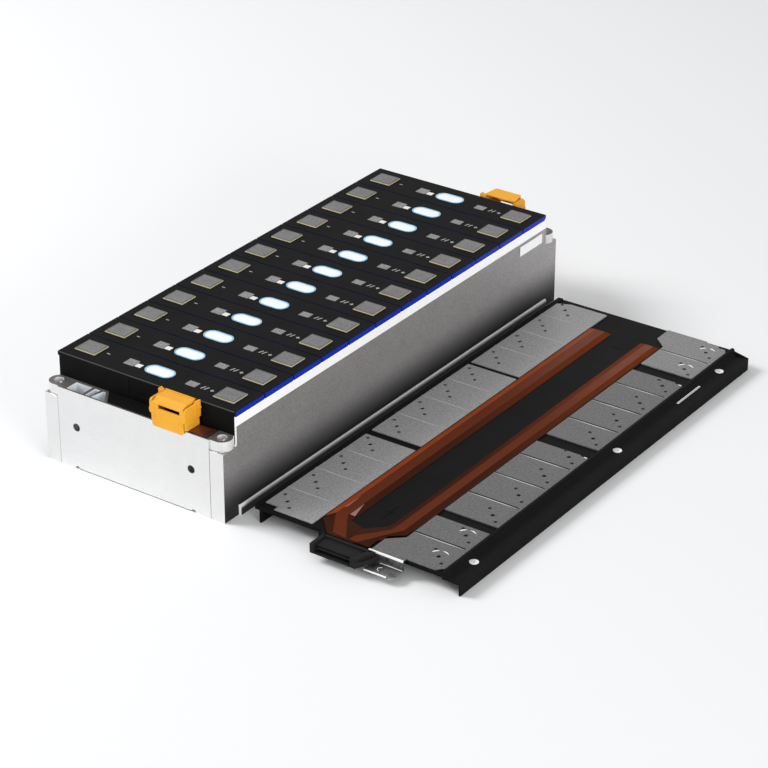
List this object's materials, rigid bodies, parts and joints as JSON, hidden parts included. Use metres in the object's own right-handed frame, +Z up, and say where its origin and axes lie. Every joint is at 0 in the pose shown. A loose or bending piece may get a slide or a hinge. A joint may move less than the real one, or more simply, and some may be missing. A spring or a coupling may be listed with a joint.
{
  "type": "ev battery module",
  "caption": "Opened electric vehicle battery module: prismatic cells in a metal frame with orange terminal covers, its contact tray lying beside it.",
  "frame": {"origin": "middle of the whole model's footprint, on the floor that the module and its tray stand on", "axes": "+Y along the module from its near end to its far end, +X across from the module to the tray, +Z up"},
  "size_m": [0.48, 0.6, 0.1135],
  "materials": {
    "black_plastic": "fine moulded grain, satin",
    "cell_black": "black insulating sheet over the can, satin",
    "foam": "soft closed-cell foam, matt",
    "end_plate_metal": "bead-blasted, pale silver",
    "side_plate_metal": "brushed sheet, satin",
    "bush_steel": "turned, bright",
    "copper": "bare copper, slightly dulled",
    "orange_plastic": "moulded, satin",
    "label": "blank, satin",
    "busbar_metal": "rolled sheet, satin",
    "flex_film": "amber film over copper tracks, glossy"
  },
  "bodies": {
    "root": {"busbar_left_1": "busbar_metal", "busbar_left_2": "busbar_metal", "busbar_left_3": "busbar_metal", "busbar_right_1": "busbar_metal", "busbar_right_2": "busbar_metal", "busbar_right_3": "busbar_metal", "busbar_right_4": "busbar_metal", "bush_far_left": "bush_steel", "bush_far_right": "bush_steel", "bush_near_left": "bush_steel", "bush_near_right": "bush_steel", "cell_01": "cell_black", "cell_02": "cell_black", "cell_03": "cell_black", "cell_04": "cell_black", "cell_05": "cell_black", "cell_06": "cell_black", "cell_07": "cell_black", "cell_08": "cell_black", "cell_09": "cell_black", "cell_10": "cell_black", "cell_11": "cell_black", "cell_12": "cell_black", "end_insulator_far": "black_plastic", "end_insulator_near": "black_plastic", "end_plate_far": "end_plate_metal", "end_plate_near": "end_plate_metal", "flex_circuit": "flex_film", "foam_01": "foam", "foam_02": "foam", "foam_03": "foam", "foam_04": "foam", "foam_05": "foam", "foam_06": "foam", "foam_07": "foam", "foam_08": "foam", "foam_09": "foam", "foam_10": "foam", "foam_11": "foam", "label": "label", "output_bar_far": "copper", "output_bar_near": "copper", "plug_housing": "black_plastic", "side_plate_left": "side_plate_metal", "side_plate_right": "side_plate_metal", "terminal_block_far": "black_plastic", "terminal_block_near": "black_plastic", "terminal_cover_far": "orange_plastic", "terminal_cover_near": "orange_plastic", "tray_carrier": "black_plastic"}
  },
  "joints": []
}
